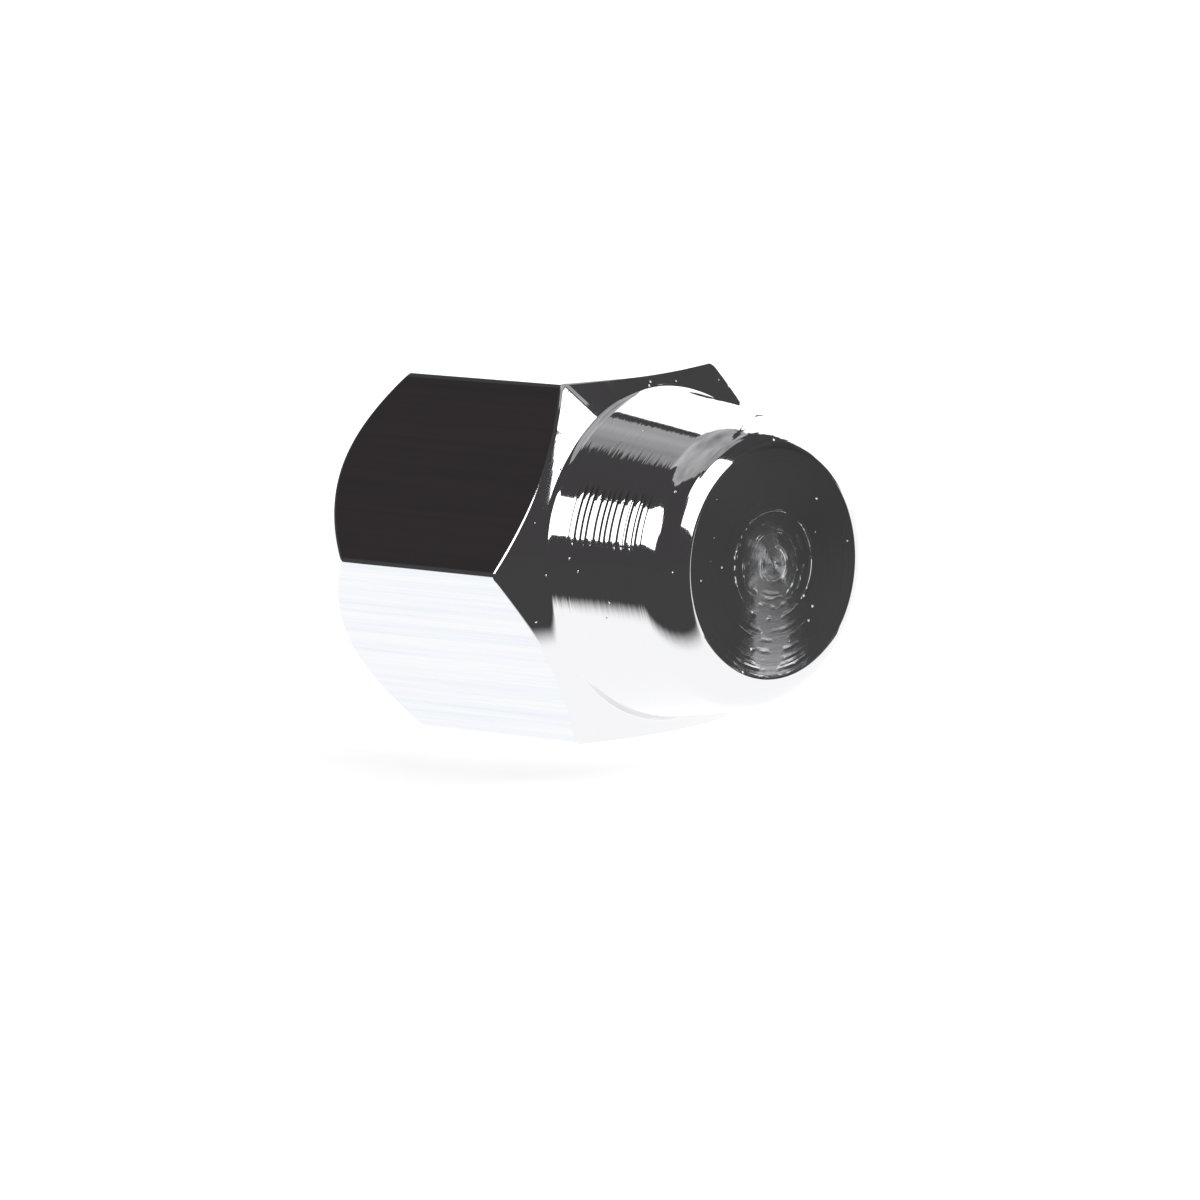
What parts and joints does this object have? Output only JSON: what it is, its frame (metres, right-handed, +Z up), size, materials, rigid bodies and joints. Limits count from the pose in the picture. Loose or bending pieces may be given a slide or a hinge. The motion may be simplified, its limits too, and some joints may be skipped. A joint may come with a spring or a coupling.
{
  "type": "lug nut",
  "caption": "Closed-end hexagonal wheel nut with a conical seat, a blind threaded hole and a round tapered end, in bright chrome.",
  "frame": {"origin": "on the thread's axis, where the tapped wall begins inside the countersunk mouth", "axes": "+X along the thread's axis towards the closed end; +Z up, with the nut lying on one flat of its hexagon; -X is the way out of the threaded hole"},
  "size_m": [0.0317, 0.0242, 0.021],
  "materials": {
    "chrome": "bright chrome plating over turned steel, with fine turning rings on the round end"
  },
  "bodies": {
    "root": {"lug_nut": "chrome"}
  },
  "joints": []
}
